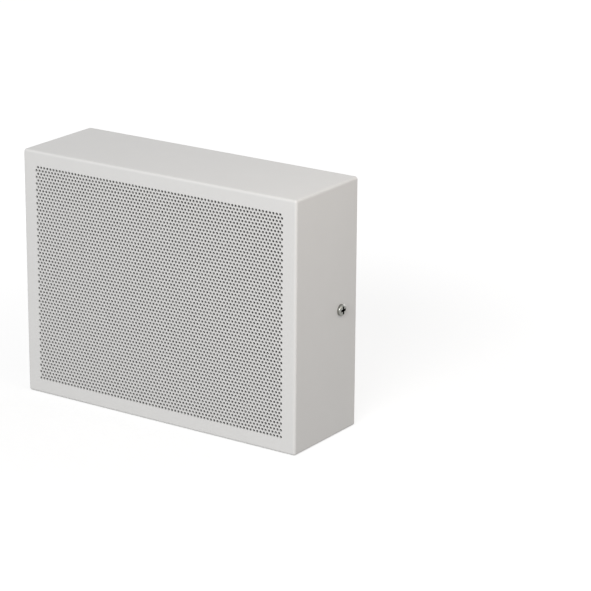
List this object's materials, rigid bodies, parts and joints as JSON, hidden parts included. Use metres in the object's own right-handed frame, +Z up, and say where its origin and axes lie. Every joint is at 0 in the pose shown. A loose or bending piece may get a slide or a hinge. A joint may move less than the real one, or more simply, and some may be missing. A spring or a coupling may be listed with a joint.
{
  "type": "wall loudspeaker",
  "caption": "Box-shaped wall loudspeaker in a white folded steel cabinet with a perforated front, side screws, and a back plate with round cable holes and wall slots.",
  "frame": {"origin": "centre of the middle cable hole, on the outer face of the back plate, which lies on the wall", "axes": "+Y points into the wall, so the perforated front faces -Y; +X is to the right of a viewer in front; +Z is up"},
  "size_m": [0.2552, 0.0815, 0.194],
  "materials": {
    "cabinet_paint": "matt white powder coat",
    "plate_paint": "matt white powder coat",
    "plated_steel": "zinc plated",
    "black_cloth": "thin woven cloth",
    "board": "raw fibreboard",
    "gasket_foam": "closed-cell foam",
    "pressed_steel": "zinc plated pressing",
    "surround_rubber": "matt",
    "cone_paper": "pressed paper pulp",
    "cap_cloth": "doped cloth",
    "former_foil": "thin foil",
    "copper_wire": "enamelled wire",
    "spider_cloth": "resin-treated cloth",
    "ferrite": "ground ferrite",
    "fibre_board": "hard fibre",
    "brass": "bright",
    "lamination_steel": "varnished laminations",
    "bobbin_plastic": "moulded",
    "winding_tape": "copper wire under yellow tape",
    "ceramic": "glazed ceramic",
    "lead_red": "insulated wire",
    "lead_black": "insulated wire"
  },
  "bodies": {
    "cabinet": {"front_cabinet": "cabinet_paint", "back_plate": "plate_paint", "side_screws": "plated_steel", "clinch_nuts": "plated_steel", "acoustic_cloth": "black_cloth", "baffle_board": "board", "baffle_studs": "plated_steel", "baffle_washers": "plated_steel", "baffle_nuts": "plated_steel", "driver_gasket": "gasket_foam", "driver_basket": "pressed_steel", "driver_screws": "plated_steel", "driver_surround": "surround_rubber", "driver_spider": "spider_cloth", "magnet_top_plate": "pressed_steel", "driver_magnet": "ferrite", "pole_yoke": "pressed_steel", "driver_terminal_strip": "fibre_board", "driver_solder_tags": "brass", "transformer_core": "lamination_steel", "transformer_bobbin": "bobbin_plastic", "transformer_winding": "winding_tape", "transformer_strap": "pressed_steel", "transformer_studs": "plated_steel", "transformer_nuts": "plated_steel", "terminal_block": "ceramic", "terminal_clamps": "brass", "terminal_screws": "plated_steel", "terminal_stud": "plated_steel", "terminal_nut": "plated_steel", "line_lead_a": "lead_red", "line_lead_b": "lead_black", "driver_lead_a": "lead_red", "driver_lead_b": "lead_black"},
    "cone": {"driver_cone": "cone_paper", "driver_dust_cap": "cap_cloth", "voice_coil_former": "former_foil", "voice_coil_winding": "copper_wire"}
  },
  "joints": [
    {"name": "cone_travel", "type": "slide", "parent": "cabinet", "child": "cone", "axis": [0, -1, 0], "range_m": [-0.002, 0.002], "stiffness_N_per_m": 1500, "deforming": ["driver_surround", "driver_spider"]}
  ]
}
